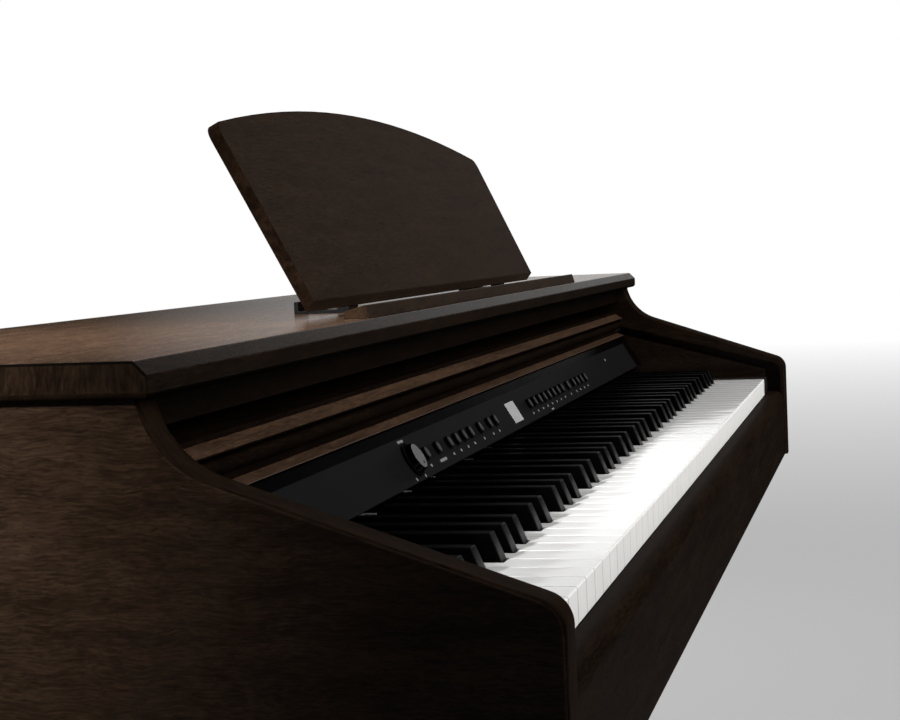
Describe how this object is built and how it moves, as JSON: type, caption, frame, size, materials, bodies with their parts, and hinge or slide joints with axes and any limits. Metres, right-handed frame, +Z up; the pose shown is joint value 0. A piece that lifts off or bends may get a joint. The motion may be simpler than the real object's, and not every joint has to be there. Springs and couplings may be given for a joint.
{
  "type": "digital piano on stand",
  "caption": "Full-size digital piano in a dark wooden case with a sliding key cover, control panel and folding music rest, on a panel stand with pedals.",
  "frame": {"origin": "on the floor under the middle of the piano's outline", "axes": "+X to the player's right along the keyboard, -Y towards the player, +Z up"},
  "size_m": [1.362, 0.438, 1.0046],
  "materials": {
    "dark_wood": "satin dark brown rosewood laminate",
    "plain_board": "matte dark board",
    "panel_black": "black, glossy along the top edge",
    "panel_grey": "satin grey with plain white marks",
    "display": "pale grey, unlit",
    "key_white": "glossy ivory white",
    "key_black": "satin black",
    "button_black": "satin dark grey",
    "knob_black": "glossy black",
    "cap_grey": "satin grey with one dot",
    "frame_plastic": "matte black",
    "black_plastic": "matte black",
    "circuit_board": "green lacquered board",
    "speaker": "black",
    "steel": "zinc plated",
    "black_metal": "satin black",
    "pedal_brass": "polished"
  },
  "bodies": {
    "case_and_stand": {"left_cheek": "dark_wood", "right_cheek": "dark_wood", "top_lid": "dark_wood", "upper_front_panel": "dark_wood", "key_slip": "dark_wood", "key_blocks": "dark_wood", "music_ledge": "dark_wood", "left_leg": "dark_wood", "right_leg": "dark_wood", "left_foot": "dark_wood", "right_foot": "dark_wood", "stand_back_board": "dark_wood", "pedal_box": "dark_wood", "keybed": "plain_board", "back_panel": "plain_board", "control_panel": "panel_black", "panel_faceplate": "panel_grey", "display_window": "display", "key_frame": "frame_plastic", "panel_circuit_board": "circuit_board", "main_circuit_board": "circuit_board", "speakers": "speaker", "rear_jack_plate": "black_plastic", "volume_pot": "steel", "rest_hinge_brackets": "black_metal", "leg_brackets": "steel", "stand_bolts": "steel", "pedal_shaft": "steel"},
    "cover": {"key_cover": "dark_wood", "cover_rail": "dark_wood", "cover_guide_pins": "black_plastic"},
    "rest": {"music_rest": "dark_wood", "rest_hinge_leaves": "black_metal"},
    "stay": {"rest_stay": "black_metal"},
    "knob": {"volume_knob": "knob_black", "knob_cap": "cap_grey"},
    "pedal_left": {"left_pedal": "pedal_brass"},
    "pedal_middle": {"middle_pedal": "pedal_brass"},
    "pedal_right": {"right_pedal": "pedal_brass"},
    "adjuster": {"pedal_box_adjuster": "black_plastic"},
    "a_keys_group": {"a_keys": "key_white"},
    "b_keys_group": {"b_keys": "key_white"},
    "c_keys_group": {"c_keys": "key_white"},
    "d_keys_group": {"d_keys": "key_white"},
    "e_keys_group": {"e_keys": "key_white"},
    "f_keys_group": {"f_keys": "key_white"},
    "g_keys_group": {"g_keys": "key_white"},
    "a_sharp_keys_group": {"a_sharp_keys": "key_black"},
    "c_sharp_keys_group": {"c_sharp_keys": "key_black"},
    "d_sharp_keys_group": {"d_sharp_keys": "key_black"},
    "f_sharp_keys_group": {"f_sharp_keys": "key_black"},
    "g_sharp_keys_group": {"g_sharp_keys": "key_black"},
    "power_button_group": {"power_button": "button_black"},
    "demo_button_group": {"demo_button": "button_black"},
    "song_buttons_group": {"song_buttons": "button_black"},
    "metronome_button_group": {"metronome_button": "button_black"},
    "tempo_buttons_group": {"tempo_buttons": "button_black"},
    "tone_buttons_group": {"tone_buttons": "button_black"},
    "split_button_group": {"split_button": "button_black"},
    "setting_buttons_group": {"setting_buttons": "button_black"}
  },
  "joints": [
    {"name": "a_keys_hinge", "type": "hinge", "parent": "case_and_stand", "child": "a_keys_group", "pos_m": [0, 0.016, 0.729], "axis": [1, 0, 0], "range_deg": [0, 2.66], "stiffness_Nm_per_rad": 20, "springref_deg": -3.44},
    {"name": "b_keys_hinge", "type": "hinge", "parent": "case_and_stand", "child": "b_keys_group", "pos_m": [0, 0.016, 0.729], "axis": [1, 0, 0], "range_deg": [0, 2.66], "stiffness_Nm_per_rad": 20, "springref_deg": -3.44},
    {"name": "c_keys_hinge", "type": "hinge", "parent": "case_and_stand", "child": "c_keys_group", "pos_m": [0, 0.016, 0.729], "axis": [1, 0, 0], "range_deg": [0, 2.66], "stiffness_Nm_per_rad": 20, "springref_deg": -3.44},
    {"name": "d_keys_hinge", "type": "hinge", "parent": "case_and_stand", "child": "d_keys_group", "pos_m": [0, 0.016, 0.729], "axis": [1, 0, 0], "range_deg": [0, 2.66], "stiffness_Nm_per_rad": 20, "springref_deg": -3.44},
    {"name": "e_keys_hinge", "type": "hinge", "parent": "case_and_stand", "child": "e_keys_group", "pos_m": [0, 0.016, 0.729], "axis": [1, 0, 0], "range_deg": [0, 2.66], "stiffness_Nm_per_rad": 20, "springref_deg": -3.44},
    {"name": "f_keys_hinge", "type": "hinge", "parent": "case_and_stand", "child": "f_keys_group", "pos_m": [0, 0.016, 0.729], "axis": [1, 0, 0], "range_deg": [0, 2.66], "stiffness_Nm_per_rad": 20, "springref_deg": -3.44},
    {"name": "g_keys_hinge", "type": "hinge", "parent": "case_and_stand", "child": "g_keys_group", "pos_m": [0, 0.016, 0.729], "axis": [1, 0, 0], "range_deg": [0, 2.66], "stiffness_Nm_per_rad": 20, "springref_deg": -3.44},
    {"name": "a_sharp_keys_hinge", "type": "hinge", "parent": "case_and_stand", "child": "a_sharp_keys_group", "pos_m": [0, 0.016, 0.729], "axis": [1, 0, 0], "range_deg": [0, 2.66], "stiffness_Nm_per_rad": 15, "springref_deg": -3.44},
    {"name": "c_sharp_keys_hinge", "type": "hinge", "parent": "case_and_stand", "child": "c_sharp_keys_group", "pos_m": [0, 0.016, 0.729], "axis": [1, 0, 0], "range_deg": [0, 2.66], "stiffness_Nm_per_rad": 15, "springref_deg": -3.44},
    {"name": "d_sharp_keys_hinge", "type": "hinge", "parent": "case_and_stand", "child": "d_sharp_keys_group", "pos_m": [0, 0.016, 0.729], "axis": [1, 0, 0], "range_deg": [0, 2.66], "stiffness_Nm_per_rad": 15, "springref_deg": -3.44},
    {"name": "f_sharp_keys_hinge", "type": "hinge", "parent": "case_and_stand", "child": "f_sharp_keys_group", "pos_m": [0, 0.016, 0.729], "axis": [1, 0, 0], "range_deg": [0, 2.66], "stiffness_Nm_per_rad": 15, "springref_deg": -3.44},
    {"name": "g_sharp_keys_hinge", "type": "hinge", "parent": "case_and_stand", "child": "g_sharp_keys_group", "pos_m": [0, 0.016, 0.729], "axis": [1, 0, 0], "range_deg": [0, 2.66], "stiffness_Nm_per_rad": 15, "springref_deg": -3.44},
    {"name": "cover_slide", "type": "slide", "parent": "case_and_stand", "child": "cover", "axis": [0, -0.9659, -0.2588], "range_m": [0, 0.165]},
    {"name": "rest_hinge", "type": "hinge", "parent": "case_and_stand", "child": "rest", "pos_m": [0, 0.00718, 0.8646], "axis": [-1, 0, 0], "range_deg": [0, 64]},
    {"name": "stay_hinge", "type": "hinge", "parent": "rest", "child": "stay", "pos_m": [0, 0.04576, 0.94369], "axis": [1, 0, 0], "range_deg": [0, 128]},
    {"name": "knob_turn", "type": "hinge", "parent": "case_and_stand", "child": "knob", "pos_m": [-0.297, -0.05146, 0.769], "axis": [0, -0.8563, 0.5165], "range_deg": [-145, 145]},
    {"name": "power_button_press", "type": "slide", "parent": "case_and_stand", "child": "power_button_group", "axis": [0, 0.8563, -0.5165], "range_m": [0, 0.0012], "stiffness_N_per_m": 600, "springref_m": -0.0008},
    {"name": "demo_button_press", "type": "slide", "parent": "case_and_stand", "child": "demo_button_group", "axis": [0, 0.8563, -0.5165], "range_m": [0, 0.0012], "stiffness_N_per_m": 600, "springref_m": -0.0008},
    {"name": "song_buttons_press", "type": "slide", "parent": "case_and_stand", "child": "song_buttons_group", "axis": [0, 0.8563, -0.5165], "range_m": [0, 0.0012], "stiffness_N_per_m": 900, "springref_m": -0.0008},
    {"name": "metronome_button_press", "type": "slide", "parent": "case_and_stand", "child": "metronome_button_group", "axis": [0, 0.8563, -0.5165], "range_m": [0, 0.0012], "stiffness_N_per_m": 600, "springref_m": -0.0008},
    {"name": "tempo_buttons_press", "type": "slide", "parent": "case_and_stand", "child": "tempo_buttons_group", "axis": [0, 0.8563, -0.5165], "range_m": [0, 0.0012], "stiffness_N_per_m": 900, "springref_m": -0.0008},
    {"name": "tone_buttons_press", "type": "slide", "parent": "case_and_stand", "child": "tone_buttons_group", "axis": [0, 0.8563, -0.5165], "range_m": [0, 0.0012], "stiffness_N_per_m": 900, "springref_m": -0.0008},
    {"name": "split_button_press", "type": "slide", "parent": "case_and_stand", "child": "split_button_group", "axis": [0, 0.8563, -0.5165], "range_m": [0, 0.0012], "stiffness_N_per_m": 600, "springref_m": -0.0008},
    {"name": "setting_buttons_press", "type": "slide", "parent": "case_and_stand", "child": "setting_buttons_group", "axis": [0, 0.8563, -0.5165], "range_m": [0, 0.0012], "stiffness_N_per_m": 900, "springref_m": -0.0008},
    {"name": "pedal_left_hinge", "type": "hinge", "parent": "case_and_stand", "child": "pedal_left", "pos_m": [-0.075, 0.156, 0.078], "axis": [1, 0, 0], "range_deg": [0, 6.5], "stiffness_Nm_per_rad": 12, "springref_deg": -5.73},
    {"name": "pedal_middle_hinge", "type": "hinge", "parent": "case_and_stand", "child": "pedal_middle", "pos_m": [0, 0.156, 0.078], "axis": [1, 0, 0], "range_deg": [0, 6.5], "stiffness_Nm_per_rad": 12, "springref_deg": -5.73},
    {"name": "pedal_right_hinge", "type": "hinge", "parent": "case_and_stand", "child": "pedal_right", "pos_m": [0.075, 0.156, 0.078], "axis": [1, 0, 0], "range_deg": [0, 6.5], "stiffness_Nm_per_rad": 12, "springref_deg": -5.73},
    {"name": "adjuster_screw", "type": "slide", "parent": "case_and_stand", "child": "adjuster", "axis": [0, 0, 1], "range_m": [0, 0.01]}
  ],
  "couplings": [
    {"joint": "stay_hinge", "follows": "rest_hinge", "ratio": 2}
  ]
}
